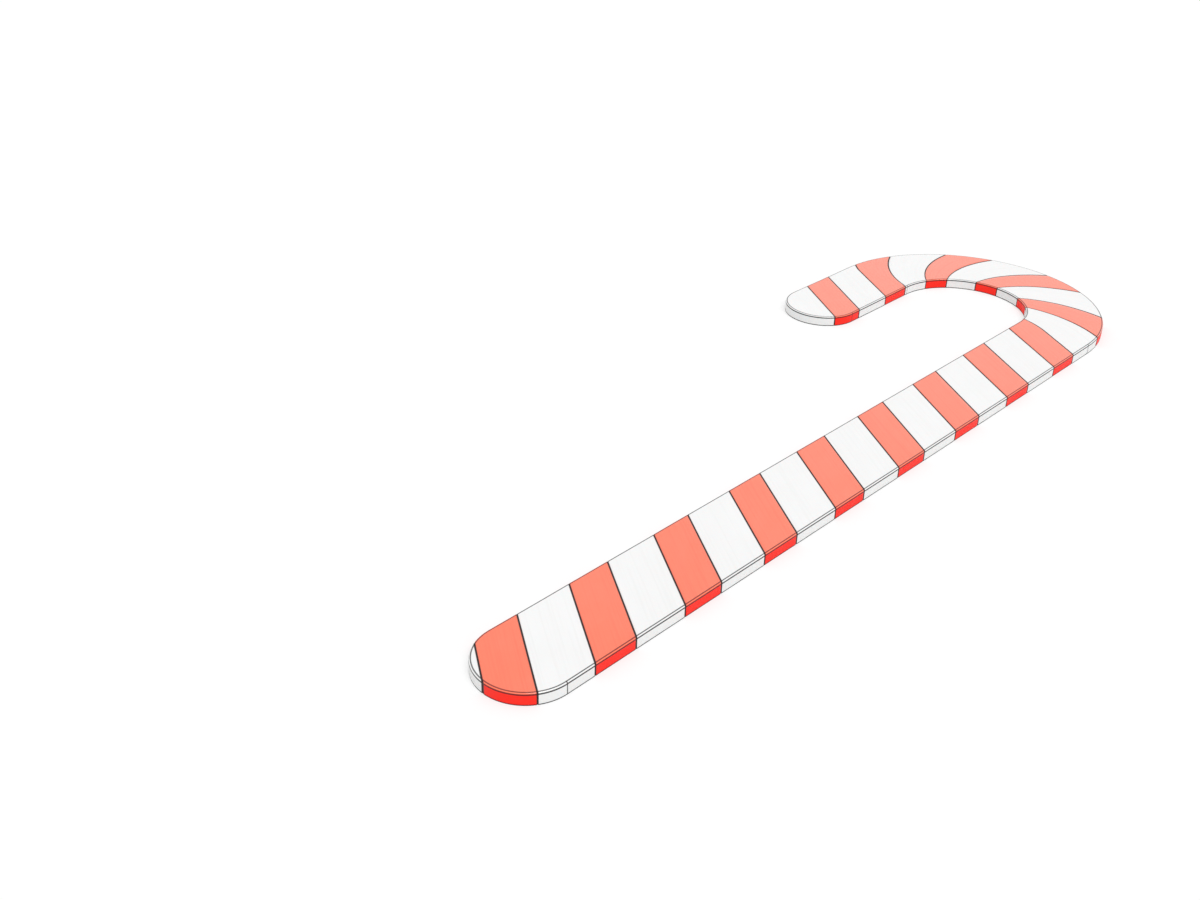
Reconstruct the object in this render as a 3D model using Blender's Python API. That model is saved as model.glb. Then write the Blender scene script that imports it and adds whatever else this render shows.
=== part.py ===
"""A flat candy cane of peppermint hard sugar, lying on its underside.

The cane is one slab: a long straight shaft, a half-circle hook and a short
straight tail, with a round end at the foot and at the tail. Its upper rim is
rounded and its lower rim is sharp. Slanted red bands cross the white sugar and
run straight down its sides.

Units are metres. +Y runs along the shaft towards the hook, the shaft is on the
+X side and the tail on the -X side, and +Z is up. The origin is below the
middle of the cane's box, on the surface that the cane lies on.

Places on the cane are given along and across its centre line. Along starts at
the centre of the foot's round end, and across is positive towards the outside
of the hook. A band's edge is a slanted line, and its station is the distance
along at which it crosses the centre line.
"""

import math

import bmesh
import bpy

# Driving dimensions
CANE_LENGTH = 0.150          # from the foot's tip to the top of the hook
SUGAR_WIDTH = 0.01267        # across the shaft, the hook and the tail
SUGAR_THICKNESS = 0.00168    # from the underside to the upper face
RIM_RADIUS = 0.00022         # rounding of the upper rim
HOOK_RADIUS = 0.01726        # of the hook's centre line
TAIL_LENGTH = 0.01731        # straight stretch beyond the hook

# Bands
BAND_COUNT = 14
BAND_PITCH = 0.01485         # along the shaft, from one band to the next
BAND_WIDTH = 0.00652         # along the shaft
BAND_SLANT = -0.666          # run along the cane for each unit across it
FIRST_BAND = -0.00639        # station at which the first band starts
BAND_CLOSING = 0.02          # share by which the bands close up beyond the shaft

# Mesh steps
HOOK_STEPS = 60              # along each side of the hook
END_STEPS = 24               # round each end
ACROSS_STEPS = 4             # along each band's edge
CLOSEST = 0.0004             # least distance between neighbouring outline points
RIM_SEGMENTS = 4
SAME_AS_NEIGHBOUR = -1       # gives a rim face the sugar of the face beside it
SIDE_RISE = 0.5              # a face whose normal rises less than this is a side
SMOOTH_ANGLE = math.radians(50.0)

# Worked out from the above
HALF_WIDTH = SUGAR_WIDTH / 2
SHAFT_LENGTH = CANE_LENGTH - SUGAR_WIDTH - HOOK_RADIUS
HOOK_LENGTH = math.pi * HOOK_RADIUS
PATH_LENGTH = SHAFT_LENGTH + HOOK_LENGTH + TAIL_LENGTH
END_REACH = HALF_WIDTH * math.hypot(1.0, BAND_SLANT)
ORIGIN_X = -HOOK_RADIUS
ORIGIN_Y = CANE_LENGTH / 2 - HALF_WIDTH

WHITE_SUGAR = (0.80, 0.80, 0.79, 1.0)
RED_SUGAR = (0.85, 0.035, 0.020, 1.0)
SUGAR_ROUGHNESS = 0.18


def clear_scene():
    """Remove every object that the file opened with."""
    for item in list(bpy.data.objects):
        bpy.data.objects.remove(item, do_unlink=True)


def sugar_material(name, colour):
    """Return a glossy boiled-sugar material of one colour."""
    material = bpy.data.materials.new(name)
    material.use_nodes = True
    shader = material.node_tree.nodes["Principled BSDF"]
    shader.inputs["Base Color"].default_value = colour
    shader.inputs["Roughness"].default_value = SUGAR_ROUGHNESS
    shader.inputs["Metallic"].default_value = 0.0
    return material


def plan_position(along, across):
    """Return the plan position of a place on the cane."""
    if along <= SHAFT_LENGTH:
        x = across
        y = along
    elif along <= SHAFT_LENGTH + HOOK_LENGTH:
        turn = (along - SHAFT_LENGTH) / HOOK_RADIUS
        reach = HOOK_RADIUS + across
        x = reach * math.cos(turn) - HOOK_RADIUS
        y = SHAFT_LENGTH + reach * math.sin(turn)
    else:
        x = -2 * HOOK_RADIUS - across
        y = SHAFT_LENGTH - (along - SHAFT_LENGTH - HOOK_LENGTH)
    return x - ORIGIN_X, y - ORIGIN_Y


def station_of(place):
    """Return the station of the slanted line through a place."""
    along, across = place
    return along - BAND_SLANT * across


def end_places():
    """Return the places round the foot's end and round the tail's end."""
    places = []
    for step in range(END_STEPS + 1):
        angle = math.pi * (step / END_STEPS - 0.5)
        reach = HALF_WIDTH * math.cos(angle)
        across = HALF_WIDTH * math.sin(angle)
        places.append((-reach, across))
        places.append((PATH_LENGTH + reach, across))
    return places


def hook_places():
    """Return the places along the hook's two sides."""
    places = []
    for step in range(HOOK_STEPS + 1):
        along = SHAFT_LENGTH + HOOK_LENGTH * step / HOOK_STEPS
        places.append((along, -HALF_WIDTH))
        places.append((along, HALF_WIDTH))
    return places


def is_outer(place):
    """Return whether a place on the outline lies on the hook's outer side.

    The two sides part at the foremost place of each round end, as seen along
    the bands' slant.
    """
    along, across = place
    if along < 0.0:
        return across > BAND_SLANT * -along
    if along > PATH_LENGTH:
        return across > -BAND_SLANT * (along - PATH_LENGTH)
    return across > 0.0


def end_crossings(offset):
    """Return how far across a slanted line enters and leaves a round end.

    Offset is the line's station, measured from the end's centre.
    """
    slant_squared = 1.0 + BAND_SLANT ** 2
    middle = -BAND_SLANT * offset / slant_squared
    half_chord = math.sqrt(END_REACH ** 2 - offset ** 2) / slant_squared
    return middle - half_chord, middle + half_chord


def edge_limit(station, side):
    """Return how far across a band's edge reaches on one side, -1 or 1."""
    limit = side * HALF_WIDTH
    along = station + BAND_SLANT * limit
    if along < 0.0:
        limit = end_crossings(station)[(side + 1) // 2]
    elif along > PATH_LENGTH:
        limit = end_crossings(station - PATH_LENGTH)[(side + 1) // 2]
    return limit


def edge_places(station):
    """Return the places along a band's edge, from the inner to the outer side."""
    inner = edge_limit(station, -1)
    outer = edge_limit(station, 1)
    places = []
    for step in range(ACROSS_STEPS + 1):
        across = inner + (outer - inner) * step / ACROSS_STEPS
        places.append((station + BAND_SLANT * across, across))
    return places


def band_edges():
    """Return the station of every band's two edges, from the foot to the tail."""
    edges = []
    for band in range(BAND_COUNT):
        start = FIRST_BAND + band * BAND_PITCH
        for station in (start, start + BAND_WIDTH):
            beyond_shaft = max(0.0, station - SHAFT_LENGTH)
            edges.append(station - BAND_CLOSING * beyond_shaft)
    return edges


def outline_places(corners):
    """Return the outline's places that keep clear of the bands' corners."""
    places = []
    for place in end_places() + hook_places():
        if min(math.dist(place, corner) for corner in corners) > CLOSEST:
            places.append(place)
    return places


def is_upper_rim(edge):
    """Return whether an edge runs between the upper face and a side."""
    if min(vert.co.z for vert in edge.verts) < SUGAR_THICKNESS / 2:
        return False
    return any(face.normal.z < SIDE_RISE for face in edge.link_faces)


class Slab:
    """The cane's slab, from flat faces, one for each band and each white stretch."""

    def __init__(self):
        """Make every vertex of the flat plan."""
        self.shape = bmesh.new()
        self.edges = [edge_places(station) for station in band_edges()]
        corners = [edge[0] for edge in self.edges] + [edge[-1] for edge in self.edges]
        self.edge_rows = [self.add_row(edge) for edge in self.edges]
        places = sorted(set(outline_places(corners)), key=station_of)
        self.outer = [place for place in places if is_outer(place)]
        self.inner = [place for place in places if not is_outer(place)]

    def add_row(self, places):
        """Add a vertex at each place and return them."""
        row = []
        for along, across in places:
            x, y = plan_position(along, across)
            row.append(self.shape.verts.new((x, y, 0.0)))
        return row

    def between(self, places, start, end):
        """Return new vertices for the places whose stations lie between two."""
        return self.add_row([place for place in places if start < station_of(place) < end])

    def add_stretch(self, index):
        """Add the face between one band edge and the next.

        Index counts the stretches from the foot. The first and the last have
        an edge on one side only, and every odd one is a red band.
        """
        start = station_of(self.edges[index - 1][0]) if index > 0 else -math.inf
        end = station_of(self.edges[index][0]) if index < len(self.edges) else math.inf
        first_row = self.edge_rows[index - 1] if index > 0 else []
        last_row = self.edge_rows[index] if index < len(self.edges) else []
        outer_side = self.between(self.outer, start, end)
        inner_side = self.between(self.inner, start, end)
        loop = first_row + outer_side + last_row[::-1] + inner_side[::-1]
        face = self.shape.faces.new(loop)
        face.material_index = index % 2

    def add_thickness(self):
        """Raise the flat plan from the surface it lies on to the upper face."""
        plan = self.shape.faces[:]
        raised = bmesh.ops.extrude_face_region(self.shape, geom=plan, use_keep_orig=True)
        upper = [item for item in raised["geom"] if isinstance(item, bmesh.types.BMVert)]
        bmesh.ops.translate(self.shape, verts=upper, vec=(0.0, 0.0, SUGAR_THICKNESS))
        bmesh.ops.recalc_face_normals(self.shape, faces=self.shape.faces)

    def round_rim(self):
        """Round the slab's upper rim, each stretch of it in its neighbour's sugar."""
        bmesh.ops.bevel(
            self.shape,
            geom=[edge for edge in self.shape.edges if is_upper_rim(edge)],
            offset=RIM_RADIUS,
            segments=RIM_SEGMENTS,
            profile=0.5,
            affect="EDGES",
            material=SAME_AS_NEIGHBOUR,
        )

    def to_mesh(self, name):
        """Build the whole slab and return it as a mesh."""
        for index in range(len(self.edges) + 1):
            self.add_stretch(index)
        self.add_thickness()
        self.round_rim()
        mesh = bpy.data.meshes.new(name)
        self.shape.to_mesh(mesh)
        self.shape.free()
        return mesh


def build_cane():
    """Build the candy cane as one solid object."""
    mesh = Slab().to_mesh("candy_cane")
    mesh.materials.append(sugar_material("white_sugar", WHITE_SUGAR))
    mesh.materials.append(sugar_material("red_sugar", RED_SUGAR))
    mesh.shade_smooth()
    mesh.set_sharp_from_angle(angle=SMOOTH_ANGLE)
    cane = bpy.data.objects.new("candy_cane", mesh)
    bpy.context.scene.collection.objects.link(cane)


clear_scene()
build_cane()
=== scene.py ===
"""Looks of a flat candy cane of peppermint hard sugar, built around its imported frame.

The cane lies on its underside. A place on it is given along and across its
centre line: along starts at the centre of the foot's round end, and across is
positive towards the outside of the hook. Every section of the cane is cut on a
slant, parallel to its red bands, and its station is the distance along at
which it crosses the centre line. A run is the way down from the upper face's
border, over the rounded rim and down the wall. Sizes are in metres.
"""

from __future__ import annotations

import logging
import math
from dataclasses import dataclass
from enum import Enum
from typing import Any

import bpy
import numpy as np
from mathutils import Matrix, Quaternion, Vector, noise


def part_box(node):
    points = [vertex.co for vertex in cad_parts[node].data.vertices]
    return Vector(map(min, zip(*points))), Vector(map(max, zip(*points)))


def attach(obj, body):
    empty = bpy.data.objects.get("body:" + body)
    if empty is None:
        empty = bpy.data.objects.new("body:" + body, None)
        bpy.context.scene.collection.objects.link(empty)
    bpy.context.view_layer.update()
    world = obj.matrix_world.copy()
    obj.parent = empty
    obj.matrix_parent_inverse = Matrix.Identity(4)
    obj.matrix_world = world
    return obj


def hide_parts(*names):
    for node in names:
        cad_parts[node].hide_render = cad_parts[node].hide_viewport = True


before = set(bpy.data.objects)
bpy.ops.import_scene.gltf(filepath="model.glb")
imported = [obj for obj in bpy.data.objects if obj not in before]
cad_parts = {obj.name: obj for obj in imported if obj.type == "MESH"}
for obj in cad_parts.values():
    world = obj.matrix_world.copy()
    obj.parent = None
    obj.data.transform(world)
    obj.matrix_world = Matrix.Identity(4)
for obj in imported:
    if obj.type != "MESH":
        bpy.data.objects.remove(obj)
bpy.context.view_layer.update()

LOG = logging.getLogger("candy_cane")
BODY = "root"
NODE = "candy_cane"
PIECE = "sugar_slab"

Colour = tuple[float, float, float, float]
MILLIMETRE = 0.001
MICRON = 0.000001
QUARTER_TURN = math.pi / 2
ROUND_OFF = MICRON * MICRON / 10
LINE_SOFTNESS = 0.35
WHITE_LIGHT: Colour = (1.0, 1.0, 1.0, 1.0)


class Sugar(Enum):
    """The two boiled sugars, by their material's place on the piece."""

    WHITE = 0
    RED = 1


class Side(Enum):
    """The two long sides of the cane, by the sign of the distance across."""

    INNER = -1
    OUTER = 1


# ---------------------------------------------------------------- shader maths


class Number:
    """A number in a shader, which joins into Python expressions."""

    def __init__(self, graph: Graph, socket: bpy.types.NodeSocket) -> None:
        """Wrap one output socket of a graph."""
        self.graph = graph
        self.socket = socket

    def _maths(self, operation: str, first: Any, second: Any) -> Number:
        """Return the result of one two-sided operation.

        Args:
            operation: the Math node's operation.
            first: a number or a wrapped socket.
            second: a number or a wrapped socket.

        Returns:
            The node's output, wrapped.
        """
        made = self.graph.node("ShaderNodeMath", {"operation": operation}, {0: first, 1: second})
        return Number(self.graph, made.outputs[0])

    def __add__(self, other: Any) -> Number:
        """Return self + other."""
        return self._maths("ADD", self, other)

    def __radd__(self, other: Any) -> Number:
        """Return other + self."""
        return self._maths("ADD", other, self)

    def __sub__(self, other: Any) -> Number:
        """Return self - other."""
        return self._maths("SUBTRACT", self, other)

    def __rsub__(self, other: Any) -> Number:
        """Return other - self."""
        return self._maths("SUBTRACT", other, self)

    def __mul__(self, other: Any) -> Number:
        """Return self * other."""
        return self._maths("MULTIPLY", self, other)

    def __rmul__(self, other: Any) -> Number:
        """Return other * self."""
        return self._maths("MULTIPLY", other, self)

    def __abs__(self) -> Number:
        """Return the number without its sign."""
        return self._maths("ABSOLUTE", self, 0.0)

    def at_most(self, other: Any) -> Number:
        """Return the smaller of two numbers."""
        return self._maths("MINIMUM", self, other)

    def ramp(self, low: float, high: float) -> Number:
        """Return a smooth step from 0 at low to 1 at high, or down where high is below low.

        Args:
            low: the number at which the step is 0.
            high: the number at which the step is 1.

        Returns:
            The step, from 0 to 1.
        """
        start, end = min(low, high), max(low, high)
        made = self.graph.node(
            "ShaderNodeMapRange",
            {"interpolation_type": "SMOOTHSTEP"},
            {"Value": self, "From Min": start, "From Max": end},
        )
        step = Number(self.graph, made.outputs["Result"])
        return step if high > low else 1.0 - step

    def line(self, centre: float, half_width: float) -> Number:
        """Return a soft-edged line, 1 where the number is near a centre.

        Args:
            centre: the number at the middle of the line.
            half_width: how far from the centre the line has faded by half.

        Returns:
            The line, from 0 to 1.
        """
        faded, full = 1.0 + LINE_SOFTNESS, 1.0 - LINE_SOFTNESS
        return abs(self - centre).ramp(faded * half_width, full * half_width)


class Graph:
    """The node tree of one material or of the world."""

    def __init__(self, owner: bpy.types.Material | bpy.types.World) -> None:
        """Start an empty node tree on a material or a world."""
        owner.use_nodes = True
        self.tree = owner.node_tree
        self.tree.nodes.clear()

    def node(self, kind: str, settings: dict[str, Any], sockets: dict[Any, Any]) -> bpy.types.Node:
        """Add one node, set it up and join its inputs.

        Args:
            kind: the node's type name.
            settings: the node's own properties, which are set first.
            sockets: the value or the link of each input, by its name or number.

        Returns:
            The new node.
        """
        made = self.tree.nodes.new(kind)
        for name, value in settings.items():
            setattr(made, name, value)
        for name, value in sockets.items():
            if isinstance(value, Number):
                value = value.socket
            if isinstance(value, bpy.types.NodeSocket):
                self.tree.links.new(value, made.inputs[name])
            else:
                made.inputs[name].default_value = value
        return made

    def attribute(self, name: str) -> Number:
        """Return a number that the mesh holds at each vertex."""
        made = self.node("ShaderNodeAttribute", {"attribute_name": name}, {})
        return Number(self, made.outputs["Fac"])

    def stretched(self, name: str, stretch: tuple[float, float, float]) -> bpy.types.NodeSocket:
        """Return a vector that the mesh holds, stretched along each of its axes.

        Args:
            name: the mesh attribute.
            stretch: what each axis is multiplied by.

        Returns:
            The stretched vector's socket.
        """
        held = self.node("ShaderNodeAttribute", {"attribute_name": name}, {})
        made = self.node(
            "ShaderNodeVectorMath",
            {"operation": "MULTIPLY"},
            {0: held.outputs["Vector"], 1: stretch},
        )
        return made.outputs[0]

    def noise(self, stretch: tuple[float, float, float], detail: float) -> Number:
        """Return soft noise from 0 to 1, laid out in the sugar's grain.

        Args:
            stretch: grains to a metre by station, across and in height.
            detail: octaves of finer noise.

        Returns:
            The noise's value.
        """
        made = self.node(
            "ShaderNodeTexNoise",
            {"noise_dimensions": "3D"},
            {"Vector": self.stretched("grain", stretch), "Scale": 1.0, "Detail": detail},
        )
        return Number(self, made.outputs[0])

    def blend(self, share: Any, first: Any, second: Any) -> bpy.types.NodeSocket:
        """Return a colour between two colours.

        Args:
            share: 0 for the first colour, 1 for the second.
            first: a colour or a colour's socket.
            second: a colour or a colour's socket.

        Returns:
            The mixed colour's socket.
        """
        made = self.node("ShaderNodeMix", {"data_type": "RGBA"}, {0: share, 6: first, 7: second})
        return made.outputs[2]


# ------------------------------------------------------------- plan of the cane


@dataclass(frozen=True)
class Plan:
    """The cane's centre line, sized from the frame's box and two widths."""

    box: tuple[Vector, Vector]
    width: float = 12.67 * MILLIMETRE
    tail: float = 17.31 * MILLIMETRE

    @property
    def half(self) -> float:
        """Return half of the sugar's width."""
        return self.width / 2

    @property
    def hook_radius(self) -> float:
        """Return the radius of the hook's centre line."""
        return (self.box[1].x - self.box[0].x - self.width) / 2

    @property
    def shaft(self) -> float:
        """Return the straight length from the foot's end centre to the hook."""
        return self.box[1].y - self.box[0].y - self.width - self.hook_radius

    @property
    def length(self) -> float:
        """Return the centre line's length between the two end centres."""
        return self.shaft + math.pi * self.hook_radius + self.tail

    @property
    def turns(self) -> tuple[float, float, float, float]:
        """Return the distances along at which straight and round stretches meet."""
        return 0.0, self.shaft, self.length - self.tail, self.length

    def position(self, along: np.ndarray, across: np.ndarray) -> np.ndarray:
        """Return the plan position of each place on the cane.

        Args:
            along: distances along the centre line.
            across: distances across it.

        Returns:
            An x and a y for each place, in the frame.
        """
        radius = self.hook_radius
        turn = np.clip((along - self.shaft) / radius, 0.0, math.pi)
        before = np.minimum(along - self.shaft, 0.0)
        beyond = np.maximum(along - self.shaft - math.pi * radius, 0.0)
        x = (radius + across) * np.cos(turn) - radius
        y = self.shaft + (radius + across) * np.sin(turn) + before - beyond
        start_x = self.box[1].x - self.half
        start_y = self.box[0].y + self.half
        return np.stack([x + start_x, y + start_y], axis=-1)

    def past_end(self, along: np.ndarray) -> np.ndarray:
        """Return how far along each place lies past the foot's or the tail's end centre."""
        return np.minimum(along, 0.0) + np.maximum(along - self.length, 0.0)

    def inset(self, along: np.ndarray, across: np.ndarray) -> np.ndarray:
        """Return how far inside the outline each place lies, in plan."""
        return self.half - np.hypot(self.past_end(along), across)

    def outward(self, along: np.ndarray, across: np.ndarray) -> np.ndarray:
        """Return the level direction out of the outline at each place.

        Args:
            along: distances along the centre line.
            across: distances across it.

        Returns:
            An x and a y for each place, of length 1 or 0.
        """
        here = self.position(along, across)
        ahead = self.position(along + MICRON, across) - here
        aside = self.position(along, across + MICRON) - here
        ahead /= np.linalg.norm(ahead, axis=-1, keepdims=True)
        aside /= np.linalg.norm(aside, axis=-1, keepdims=True)
        out = ahead * self.past_end(along)[..., None] + aside * across[..., None]
        size = np.linalg.norm(out, axis=-1, keepdims=True)
        return out / np.maximum(size, 0.001 * MICRON)


@dataclass(frozen=True)
class Bands:
    """The red bands, which cross the cane on a slant and close up in its hook."""

    shaft: float
    count: int = 14
    pitch: float = 14.85 * MILLIMETRE
    width: float = 6.52 * MILLIMETRE
    first: float = -6.39 * MILLIMETRE
    slant: float = -0.666
    closing: float = 0.02

    @property
    def stretch(self) -> float:
        """Return the length of a slanted line for each unit across the cane."""
        return math.hypot(1.0, self.slant)

    def edges(self) -> np.ndarray:
        """Return the stations of every band's two edges, from foot to tail."""
        starts = self.first + self.pitch * np.arange(self.count)
        even = np.sort(np.concatenate([starts, starts + self.width]))
        return even - self.closing * np.maximum(even - self.shaft, 0.0)

    def sugar_at(self, station: float) -> Sugar:
        """Return the sugar that a station lies in."""
        crossed = int(np.searchsorted(self.edges(), station))
        return Sugar.RED if crossed % 2 else Sugar.WHITE

    def seam_run(self, stations: np.ndarray) -> np.ndarray:
        """Return how far each station lies from the nearest seam, square to it.

        Args:
            stations: the stations to measure.

        Returns:
            A distance for each station.
        """
        gaps = np.abs(stations[:, None] - self.edges()[None, :])
        return gaps.min(axis=1) / self.stretch


@dataclass(frozen=True)
class Levels:
    """The levels down one side of a section, from the upper face to the underside."""

    inset: np.ndarray
    height: np.ndarray


@dataclass(frozen=True)
class Profile:
    """One side of the section: a rounded rim, an upright wall and a fine lower edge."""

    thickness: float
    rim_radius: float = 0.22 * MILLIMETRE
    edge_radius: float = 0.04 * MILLIMETRE
    rim_steps: int = 8
    edge_steps: int = 3
    wall_shares: tuple[float, ...] = (0.03, 0.27, 0.50, 0.73, 0.97)

    @property
    def wall(self) -> float:
        """Return the wall's height."""
        return self.thickness - self.rim_radius - self.edge_radius

    @property
    def rim_end(self) -> float:
        """Return the run at which the rim meets the wall."""
        return self.rim_radius * QUARTER_TURN

    @property
    def wall_end(self) -> float:
        """Return the run at which the wall meets the lower edge."""
        return self.rim_end + self.wall

    def levels(self) -> Levels:
        """Return the inset and the height of every level."""
        rim = np.linspace(QUARTER_TURN, 0.0, self.rim_steps + 1)
        edge = np.linspace(0.0, QUARTER_TURN, self.edge_steps + 1)
        wall = np.array(self.wall_shares)
        rim_inset = self.rim_radius * (1.0 - np.cos(rim))
        edge_inset = self.edge_radius * (1.0 - np.cos(edge))
        rim_height = self.thickness - self.rim_radius * (1.0 - np.sin(rim))
        wall_height = self.thickness - self.rim_radius - self.wall * wall
        edge_height = self.edge_radius * (1.0 - np.sin(edge))
        return Levels(
            inset=np.concatenate([rim_inset, 0.0 * wall, edge_inset]),
            height=np.concatenate([rim_height, wall_height, edge_height]),
        )

    def crests(self, inset: float) -> tuple[float, float]:
        """Return the lowest and the highest surface at one distance inside the outline.

        Args:
            inset: the distance inside the outline, in plan.

        Returns:
            The lower and the upper height.
        """
        edge_turn = math.acos(1.0 - min(max(inset, 0.0) / self.edge_radius, 1.0))
        rim_turn = math.acos(1.0 - min(max(inset, 0.0) / self.rim_radius, 1.0))
        low = self.edge_radius * (1.0 - math.sin(edge_turn))
        high = self.thickness - self.rim_radius * (1.0 - math.sin(rim_turn))
        return low, high

    def measure(self, inset: np.ndarray, height: np.ndarray) -> tuple[np.ndarray, np.ndarray]:
        """Return the run and the tilt of the surface at each point.

        Args:
            inset: how far inside the outline each point lies, in plan.
            height: each point's height.

        Returns:
            The run, below 0 on the upper face, and the upward tilt of the
            normal: a quarter turn on the upper face, 0 on the wall.
        """
        rim_turn = np.arccos(np.clip(1.0 - inset / self.rim_radius, 0.0, 1.0))
        edge_turn = np.arccos(np.clip(1.0 - inset / self.edge_radius, 0.0, 1.0))
        shoulder = self.thickness - self.rim_radius
        zones = [height >= shoulder, height <= self.edge_radius]
        before_rim = np.minimum(self.rim_radius - inset, 0.0)
        past_edge = np.maximum(inset - self.edge_radius, 0.0)
        over = self.rim_end - self.rim_radius * rim_turn + before_rim
        under = self.wall_end + self.edge_radius * edge_turn + past_edge
        run = np.select(zones, [over, under], self.rim_end + shoulder - height)
        tilt = np.select(zones, [rim_turn, -edge_turn], 0.0)
        return run, tilt


# --------------------------------------------------------------------- finishes


@dataclass(frozen=True)
class Lines:
    """Half-widths of the fine lines on the slab, among them a painted shadow line along the wall's
    foot, and how dark the upper one is.
    """

    seam: float = 0.115 * MILLIMETRE
    bleed: float = 0.50 * MILLIMETRE
    upper_rim: float = 0.085 * MILLIMETRE
    lower_rim: float = 0.100 * MILLIMETRE
    # The foot line is painted shade: a dark line along the foot of the wall that stands in for the
    # contact shadow where the cane meets the floor.
    foot: float = 0.110 * MILLIMETRE
    mould: float = 0.080 * MILLIMETRE
    upper_share: float = 0.90


@dataclass(frozen=True)
class Grain:
    """The sugar's textures, in grains to a metre by station, across and in height."""

    streak: tuple[float, float, float] = (2600.0, 70.0, 400.0)
    cloud: tuple[float, float, float] = (230.0, 230.0, 230.0)
    peel: tuple[float, float, float] = (900.0, 900.0, 900.0)
    bubble: tuple[float, float, float] = (850.0, 850.0, 850.0)
    streak_range: tuple[float, float] = (0.45, 0.75)
    cloud_range: tuple[float, float] = (0.35, 0.70)
    bubble_range: tuple[float, float] = (0.08, 0.03)
    bubble_choice: tuple[float, float] = (0.74, 0.78)
    bubble_share: float = 0.35
    streak_height: float = 2.0 * MICRON
    cloud_height: float = 7.0 * MICRON
    peel_height: float = 2.5 * MICRON
    bubble_depth: float = 10.0 * MICRON


@dataclass(frozen=True)
class Marks:
    """Where the sugar's textures and lines lie, each a number from 0 to 1."""

    streak: Number
    cloud: Number
    bubble: Number
    wall: Number
    rim: Number
    seam: Number
    bleed: Number


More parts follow.
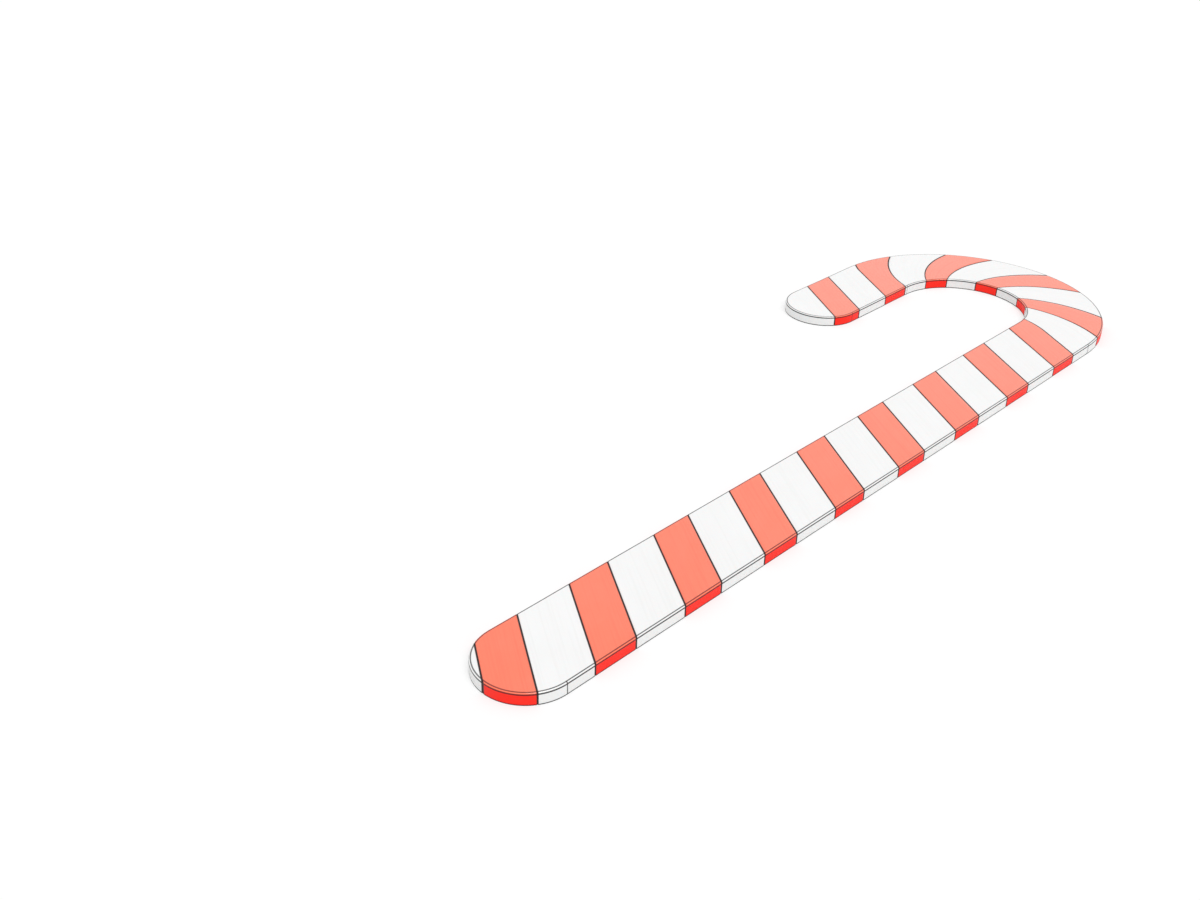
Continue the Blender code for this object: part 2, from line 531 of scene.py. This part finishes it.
@dataclass(frozen=True)
class SugarFinish:
    """A glossy boiled sugar, drawn out in fine streaks along the bands."""

    name: str
    # face and wall are painted lit and shaded copies of one sugar: the faces (upper face and
    # underside) carry a painted sheen that makes them paler than the walls.
    face: Colour
    wall: Colour
    streak: Colour
    cloud: Colour
    bleed: Colour
    # line: the dark colour of the rim lines and the mould marks, and of the painted shadow line
    # along the wall's foot.
    line: Colour
    seam: Colour
    streak_share: float
    cloud_share: float
    bleed_share: float
    lines: Lines = Lines()
    grain: Grain = Grain()
    gloss: float = 0.85
    gloss_roughness: float = 0.05
    roughness: float = 0.16
    cloud_roughness: float = 0.10
    streak_roughness: float = 0.04
    matt_roughness: float = 0.25
    matt_rim: float = 0.7
    refraction: float = 1.5
    specular: float = 0.30
    subsurface: float = 0.06
    subsurface_radius: tuple[float, float, float] = (1.0, 0.5, 0.4)
    subsurface_scale: float = 0.4 * MILLIMETRE

    def material(self, plan: Plan, profile: Profile) -> bpy.types.Material:
        """Build this sugar's material.

        Args:
            plan: the cane's centre line.
            profile: the side of its section.

        Returns:
            The finished material.
        """
        made = bpy.data.materials.new(self.name)
        graph = Graph(made)
        marks = self._marks(graph, plan, profile)
        matt = (marks.wall + marks.rim * self.matt_rim + marks.seam).at_most(1.0)
        patchy = self.cloud_roughness * marks.cloud + self.streak_roughness * marks.streak
        shader = graph.node(
            "ShaderNodeBsdfPrincipled",
            {"subsurface_method": "RANDOM_WALK"},
            {
                "Base Color": self._colour(graph, marks),
                "Roughness": self.roughness + patchy + self.matt_roughness * matt,
                "Normal": self._surface(graph, marks),
                "IOR": self.refraction,
                "Specular IOR Level": self.specular,
                "Coat Weight": (1.0 - matt) * self.gloss,
                "Coat Roughness": self.gloss_roughness,
                "Subsurface Weight": self.subsurface,
                "Subsurface Radius": self.subsurface_radius,
                "Subsurface Scale": self.subsurface_scale,
            },
        )
        graph.node("ShaderNodeOutputMaterial", {}, {"Surface": shader.outputs["BSDF"]})
        return made

    def _marks(self, graph: Graph, plan: Plan, profile: Profile) -> Marks:
        """Lay out the sugar's textures and lines.

        Args:
            graph: the material's node tree.
            plan: the cane's centre line.
            profile: the side of its section.

        Returns:
            Every texture and line.
        """
        run = graph.attribute("run")
        along = graph.attribute("along")
        seam_run = graph.attribute("seam_run")
        lines = self.lines
        streak = graph.noise(self.grain.streak, 3.0)
        border = 0.15 * profile.rim_radius
        side = run.ramp(-border, border) * run.ramp(profile.wall_end + border, profile.wall_end)
        mould = sum((along.line(turn, lines.mould) for turn in plan.turns), 0.0) * side
        rim = run.line(0.0, lines.upper_rim) * lines.upper_share
        rim = rim + run.line(profile.rim_end, lines.lower_rim)
        # The line at the wall's end is a painted contact shadow along the foot of the wall.
        rim = rim + run.line(profile.wall_end, lines.foot) + mould * lines.upper_share
        return Marks(
            streak=streak,
            cloud=graph.noise(self.grain.cloud, 2.0),
            bubble=self._bubbles(graph),
            wall=side * run.ramp(profile.rim_end - border, profile.rim_end),
            rim=rim.at_most(1.0),
            seam=seam_run.line(0.0, lines.seam),
            bleed=seam_run.ramp(lines.bleed, lines.seam) * streak,
        )

    def _bubbles(self, graph: Graph) -> Number:
        """Return tiny round air bubbles, scattered thinly."""
        made = graph.node(
            "ShaderNodeTexVoronoi",
            {"voronoi_dimensions": "3D", "feature": "F1"},
            {"Vector": graph.stretched("grain", self.grain.bubble), "Scale": 1.0},
        )
        drop = Number(graph, made.outputs["Distance"]).ramp(*self.grain.bubble_range)
        parts = graph.node("ShaderNodeSeparateColor", {}, {0: made.outputs["Color"]})
        chosen = Number(graph, parts.outputs[0]).ramp(*self.grain.bubble_choice)
        return drop * chosen

    def _colour(self, graph: Graph, marks: Marks) -> bpy.types.NodeSocket:
        """Lay the sugar's colours over each other, with painted light: a paler lit copy of the
        colour on the faces, a shaded copy on the walls, and a painted shadow line along the wall's
        foot.

        Args:
            graph: the material's node tree.
            marks: the sugar's textures and lines.

        Returns:
            The colour's socket.
        """
        clouded = marks.cloud.ramp(*self.grain.cloud_range) * self.cloud_share
        streaked = marks.streak.ramp(*self.grain.streak_range) * self.streak_share
        face = graph.blend(clouded, self.face, self.cloud)
        face = graph.blend(streaked, face, self.streak)
        face = graph.blend(marks.bleed * self.bleed_share, face, self.bleed)
        face = graph.blend(marks.bubble * self.grain.bubble_share, face, self.cloud)
        # Painted light: the walls take the shaded copy of the sugar's colour, the faces keep the
        # paler lit copy.
        colour = graph.blend(marks.wall, face, self.wall)
        colour = graph.blend(marks.rim, colour, self.line)
        return graph.blend(marks.seam, colour, self.seam)

    def _surface(self, graph: Graph, marks: Marks) -> bpy.types.NodeSocket:
        """Return the normal of the faintly rippled, pitted surface.

        Args:
            graph: the material's node tree.
            marks: the sugar's textures and lines.

        Returns:
            The normal's socket.
        """
        grain = self.grain
        peel = graph.noise(grain.peel, 1.0)
        raised = grain.streak_height * marks.streak + grain.peel_height * peel
        raised = raised + grain.cloud_height * marks.cloud
        height = raised - grain.bubble_depth * marks.bubble
        made = graph.node(
            "ShaderNodeBump", {}, {"Strength": 1.0, "Distance": 1.0, "Height": height}
        )
        return made.outputs["Normal"]


def sugar_finishes() -> dict[Sugar, SugarFinish]:
    """Return the finish of each sugar."""
    white = SugarFinish(
        name="white_sugar",
        # White sugar: the face is painted paler than the wall, as lit and shaded copies of one
        # white.
        face=(0.838, 0.838, 0.836, 1.0),
        wall=(0.795, 0.797, 0.793, 1.0),
        streak=(0.780, 0.778, 0.768, 1.0),
        cloud=(0.862, 0.863, 0.866, 1.0),
        bleed=(0.820, 0.640, 0.600, 1.0),
        line=(0.055, 0.055, 0.056, 1.0),
        seam=(0.022, 0.006, 0.005, 1.0),
        streak_share=0.40,
        cloud_share=0.50,
        bleed_share=0.25,
    )
    red = SugarFinish(
        name="red_sugar",
        # Red sugar: the face is painted salmon, a painted sheen over the red, and the wall is the
        # deeper shaded red.
        face=(0.940, 0.172, 0.082, 1.0),
        wall=(0.945, 0.014, 0.002, 1.0),
        streak=(0.880, 0.125, 0.058, 1.0),
        cloud=(0.950, 0.215, 0.125, 1.0),
        bleed=(0.800, 0.070, 0.035, 1.0),
        line=(0.150, 0.002, 0.003, 1.0),
        seam=(0.022, 0.006, 0.005, 1.0),
        streak_share=0.35,
        cloud_share=0.22,
        bleed_share=0.25,
    )
    return {Sugar.WHITE: white, Sugar.RED: red}


# ----------------------------------------------------------------- the sugar slab


@dataclass(frozen=True)
class Surface:
    """Every point of the slab, row by row, and what the mesh holds at each."""

    points: np.ndarray
    held: dict[str, np.ndarray]
    stations: np.ndarray


@dataclass(frozen=True)
class SugarSlab:
    """The cane itself: one slab with a rounded upper rim and fused seams."""

    plan: Plan
    bands: Bands
    profile: Profile
    seam_depth: float = 0.045 * MILLIMETRE
    seam_half_width: float = 0.12 * MILLIMETRE
    ripple: float = 0.012 * MILLIMETRE
    ripple_size: float = 4.5 * MILLIMETRE
    row_gap: float = 0.6 * MILLIMETRE
    end_rows: int = 44
    seam_rows: int = 7
    upper_steps: int = 26
    under_steps: int = 12
    face_border: float = 0.006

    def stations(self) -> np.ndarray:
        """Return the station of every row, from the foot to the tail."""
        stretch = self.bands.stretch
        insets = np.unique(self.profile.levels().inset.round(12))
        run_outs = (self.plan.half - insets) * stretch
        turns = np.linspace(0.0, QUARTER_TURN - self.bands.slant, self.end_rows)
        reach = (self.plan.half - self.profile.rim_radius) * stretch
        foot = -reach * np.cos(turns)
        tail = self.plan.length + reach * np.cos(turns)
        middle = np.arange(foot.max(), tail.min(), self.row_gap)
        offsets = np.linspace(-1.0, 1.0, self.seam_rows) * self.seam_half_width * stretch
        seams = (self.bands.edges()[:, None] + offsets[None, :]).ravel()
        seams = seams[(seams > -reach) & (seams < self.plan.length + reach)]
        fixed = np.concatenate([-run_outs, self.plan.length + run_outs, seams])
        free = np.concatenate([foot, tail, middle])
        gaps = np.abs(free[:, None] - fixed[None, :]).min(axis=1)
        free = free[gaps > (offsets[1] - offsets[0]) / 2]
        return np.unique(np.concatenate([free, fixed]).round(12))

    def limit(self, station: float, half: float, side: Side) -> float:
        """Return how far across a row reaches on one side.

        Args:
            station: the row's station.
            half: half the width of the level's outline.
            side: the side that is asked for.

        Returns:
            The distance across, on the outline or, past the outline's last
            point, on the line through the round end's foremost points.
        """
        slant = self.bands.slant
        along = station + slant * side.value * half
        if 0.0 <= along <= self.plan.length:
            return side.value * half
        offset = station if along < 0.0 else station - self.plan.length
        squared = self.bands.stretch**2
        spare = half**2 * squared - offset**2
        half_chord = math.sqrt(spare) / squared if spare > ROUND_OFF else 0.0
        return -slant * offset / squared + side.value * half_chord

    def heights(self, station: float) -> np.ndarray:
        """Return a section's heights, held to the rim's crest where a round end runs out."""
        past = max(-station, station - self.plan.length) / self.bands.stretch
        low, high = self.profile.crests(self.plan.half - past)
        return np.clip(self.profile.levels().height, low, high)

    def upper_shares(self) -> np.ndarray:
        """Return the shares of a row's width at which its upper points lie."""
        even = np.linspace(0.0, 1.0, self.upper_steps + 1)
        border = self.face_border * np.array([1.0, 2.5])
        return np.sort(np.concatenate([even, border, 1.0 - border]))[1:-1]

    def section(self, station: float) -> np.ndarray:
        """Return the closed loop of points round one slanted section.

        Args:
            station: the section's station.

        Returns:
            Across and height for each point, in turn over the upper face,
            down the outer side, under and up the inner side.
        """
        halves = self.plan.half - self.profile.levels().inset
        inner = np.array([self.limit(station, half, Side.INNER) for half in halves])
        outer = np.array([self.limit(station, half, Side.OUTER) for half in halves])
        heights = self.heights(station)
        upper = self.upper_shares()
        under = np.linspace(1.0, 0.0, self.under_steps + 1)[1:-1]
        across = [
            inner[0] + (outer[0] - inner[0]) * upper,
            outer,
            inner[-1] + (outer[-1] - inner[-1]) * under,
            inner[::-1],
        ]
        height = [
            np.full(len(upper), heights[0]),
            heights,
            np.full(len(under), heights[-1]),
            heights[::-1],
        ]
        return np.stack([np.concatenate(across), np.concatenate(height)], axis=-1)

    def seam_sink(self, stations: np.ndarray) -> np.ndarray:
        """Return how deep the surface sinks into a fused seam at each station."""
        share = np.clip(1.0 - self.bands.seam_run(stations) / self.seam_half_width, 0.0, 1.0)
        return self.seam_depth * share * share * (3.0 - 2.0 * share)

    def ripples(self, points: np.ndarray) -> np.ndarray:
        """Return how far each point sinks below the true surface, from soft noise."""
        sizes = (points / self.ripple_size).reshape(-1, 3)
        waves = np.array([noise.noise(Vector(size)) for size in sizes]).reshape(points.shape[:-1])
        return self.ripple * (0.5 + 0.5 * np.clip(waves * 1.6, -1.0, 1.0))

    def surface(self) -> Surface:
        """Work out every point of the slab."""
        stations = self.stations()
        loops = np.stack([self.section(station) for station in stations])
        across, height = loops[..., 0], loops[..., 1]
        station = stations[:, None] + 0.0 * across
        along = station + self.bands.slant * across
        run, tilt = self.profile.measure(self.plan.inset(along, across), height)
        level = np.cos(tilt)[..., None] * self.plan.outward(along, across)
        normals = np.concatenate([level, np.sin(tilt)[..., None]], axis=-1)
        flat = self.plan.position(along, across)
        points = np.concatenate([flat, height[..., None]], axis=-1)
        sink = self.seam_sink(stations)[:, None] + np.where(tilt < 0.0, 0.0, self.ripples(points))
        held = {
            "run": run,
            "along": along,
            "seam_run": self.bands.seam_run(stations)[:, None] + 0.0 * across,
            "grain": np.stack([station, across, height], axis=-1),
        }
        return Surface(points - normals * sink[..., None], held, stations)

    def faces(self, stations: np.ndarray, around: int) -> tuple[np.ndarray, list[int]]:
        """Return the four corners of every face, and each face's sugar.

        Args:
            stations: the rows' stations.
            around: the number of points in a row.

        Returns:
            The corners' numbers, and each face's material place.
        """
        row = np.arange(len(stations) - 1)[:, None] * around
        here = np.arange(around)[None, :]
        beside = (here + 1) % around
        corners = np.stack(
            [row + here, row + beside, row + around + beside, row + around + here], axis=-1
        )
        middles = (stations[1:] + stations[:-1]) / 2
        sugars = [self.bands.sugar_at(middle).value for middle in middles for _ in range(around)]
        return corners.reshape(-1, 4), sugars

    def build(self) -> bpy.types.Object:
        """Build the slab as one closed mesh.

        Returns:
            The new object.
        """
        surface = self.surface()
        corners, sugars = self.faces(surface.stations, surface.points.shape[1])
        flat = surface.points.reshape(-1, 3)
        _, first, shared = np.unique(flat.round(9), axis=0, return_index=True, return_inverse=True)
        loops = [list(dict.fromkeys(face)) for face in shared.ravel()[corners].tolist()]
        kept = [(loop, sugar) for loop, sugar in zip(loops, sugars) if len(loop) > 2]
        mesh = bpy.data.meshes.new(PIECE)
        mesh.from_pydata(flat[first].tolist(), [], [loop for loop, _ in kept])
        mesh.polygons.foreach_set("material_index", [sugar for _, sugar in kept])
        for name, values in surface.held.items():
            if values.ndim == 3:
                layer = mesh.attributes.new(name, "FLOAT_VECTOR", "POINT")
                layer.data.foreach_set("vector", values.reshape(-1, 3)[first].ravel())
            else:
                layer = mesh.attributes.new(name, "FLOAT", "POINT")
                layer.data.foreach_set("value", values.ravel()[first])
        mesh.shade_smooth()
        mesh.update()
        slab = bpy.data.objects.new(PIECE, mesh)
        bpy.context.scene.collection.objects.link(slab)
        return slab

    def dress(self, slab: bpy.types.Object, finishes: dict[Sugar, SugarFinish]) -> None:
        """Give the slab its sugars and join it to the frame.

        Args:
            slab: the built piece.
            finishes: the finish of each sugar.
        """
        for sugar in Sugar:
            slab.data.materials.append(finishes[sugar].material(self.plan, self.profile))
        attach(slab, BODY)
        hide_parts(NODE)


# ------------------------------------------------------------------------ studio


def towards(azimuth: float, elevation: float) -> Vector:
    """Return the direction from the cane to a place round it.

    Args:
        azimuth: 0 on the -Y side and 90 on the +X side, in degrees.
        elevation: height above the horizon, in degrees.

    Returns:
        A direction of length 1.
    """
    around, above = math.radians(azimuth), math.radians(elevation)
    level = math.cos(above)
    return Vector((math.sin(around) * level, -math.cos(around) * level, math.sin(above)))


@dataclass(frozen=True)
class Studio:
    """A plain pale floor, an even pale surround and one broad soft lamp."""

    floor_size: float = 6.0
    floor_colour: Colour = (0.93, 0.93, 0.93, 1.0)
    floor_evenness: float = 0.58
    surround: float = 0.80
    lamp_strength: float = 1.15
    lamp_spread: float = 35.0
    lamp_azimuth: float = 75.0
    lamp_elevation: float = 60.0

    def build(self, ground: float) -> None:
        """Set the floor, the surround and the lamp.

        Args:
            ground: the height that the cane lies on.
        """
        self._floor(ground)
        self._surround()
        self._lamp()
        bpy.context.scene.view_settings.view_transform = "Standard"

    def _floor(self, ground: float) -> None:
        """Lay the floor, which looks a little paler to the camera than it is."""
        half = self.floor_size / 2
        corners = [(x * half, y * half, ground) for x, y in ((-1, -1), (1, -1), (1, 1), (-1, 1))]
        mesh = bpy.data.meshes.new("floor")
        mesh.from_pydata(corners, [], [(0, 1, 2, 3)])
        floor = bpy.data.objects.new("floor", mesh)
        bpy.context.scene.collection.objects.link(floor)
        made = bpy.data.materials.new("pale_floor")
        graph = Graph(made)
        path = graph.node("ShaderNodeLightPath", {}, {})
        seen = Number(graph, path.outputs["Is Camera Ray"])
        matt = graph.node("ShaderNodeBsdfDiffuse", {}, {"Color": self.floor_colour})
        even = graph.node("ShaderNodeEmission", {}, {"Color": WHITE_LIGHT, "Strength": 1.0})
        mixed = graph.node(
            "ShaderNodeMixShader",
            {},
            {0: seen * self.floor_evenness, 1: matt.outputs[0], 2: even.outputs[0]},
        )
        graph.node("ShaderNodeOutputMaterial", {}, {"Surface": mixed.outputs[0]})
        mesh.materials.append(made)

    def _surround(self) -> None:
        """Light the scene evenly, and show plain white to the camera and to gloss."""
        world = bpy.data.worlds.new("surround")
        bpy.context.scene.world = world
        graph = Graph(world)
        path = graph.node("ShaderNodeLightPath", {}, {})
        seen = Number(graph, path.outputs["Is Camera Ray"])
        mirrored = Number(graph, path.outputs["Is Glossy Ray"])
        shown = (seen + mirrored).at_most(1.0)
        strength = self.surround + shown * (1.0 - self.surround)
        back = graph.node("ShaderNodeBackground", {}, {"Color": WHITE_LIGHT, "Strength": strength})
        graph.node("ShaderNodeOutputWorld", {}, {"Surface": back.outputs[0]})

    def _lamp(self) -> None:
        """Hang the soft lamp."""
        lamp = bpy.data.lights.new("soft_lamp", "SUN")
        lamp.energy = self.lamp_strength
        lamp.angle = math.radians(self.lamp_spread)
        hung = bpy.data.objects.new("soft_lamp", lamp)
        bpy.context.scene.collection.objects.link(hung)
        direction = towards(self.lamp_azimuth, self.lamp_elevation)
        hung.rotation_mode = "QUATERNION"
        hung.rotation_quaternion = direction.to_track_quat("Z", "Y")


@dataclass(frozen=True)
class Viewpoint:
    """The camera, placed in cane lengths from the cane's middle."""

    azimuth: float = 43.63
    elevation: float = 29.91
    roll: float = 1.04
    distance: float = 1.2198
    aim: tuple[float, float] = (-0.0690, -0.1916)
    lens: float = 38.78
    sensor: float = 36.0

    def build(self, box: tuple[Vector, Vector]) -> None:
        """Set up the camera.

        Args:
            box: the cane's lowest and highest corners.
        """
        length = box[1].y - box[0].y
        middle = (box[0] + box[1]) / 2
        offset = Vector((self.aim[0], self.aim[1], 0.0)) * length
        target = Vector((middle.x, middle.y, box[0].z)) + offset
        back = towards(self.azimuth, self.elevation)
        data = bpy.data.cameras.new("camera")
        data.sensor_fit = "HORIZONTAL"
        data.sensor_width = self.sensor
        data.lens = self.lens
        data.clip_start = 0.01 * length
        data.clip_end = 100.0 * length
        camera = bpy.data.objects.new("camera", data)
        bpy.context.scene.collection.objects.link(camera)
        camera.rotation_mode = "QUATERNION"
        turn = Quaternion((0.0, 0.0, 1.0), math.radians(self.roll))
        camera.rotation_quaternion = (-back).to_track_quat("-Z", "Y") @ turn
        camera.location = target + back * (self.distance * length)
        bpy.context.scene.camera = camera


def main() -> None:
    """Build the cane and its studio in order, and report each piece."""
    logging.basicConfig(level=logging.INFO, format="%(name)s: %(message)s")
    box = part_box(NODE)
    plan = Plan(box)
    maker = SugarSlab(plan, Bands(plan.shaft), Profile(box[1].z - box[0].z))
    slab = maker.build()
    maker.dress(slab, sugar_finishes())
    LOG.info("%s: %d faces", PIECE, len(slab.data.polygons))
    Studio().build(box[0].z)
    LOG.info("studio: floor, surround and lamp")
    Viewpoint().build(box)
    LOG.info("camera: set")


if __name__ == "__main__":
    main()
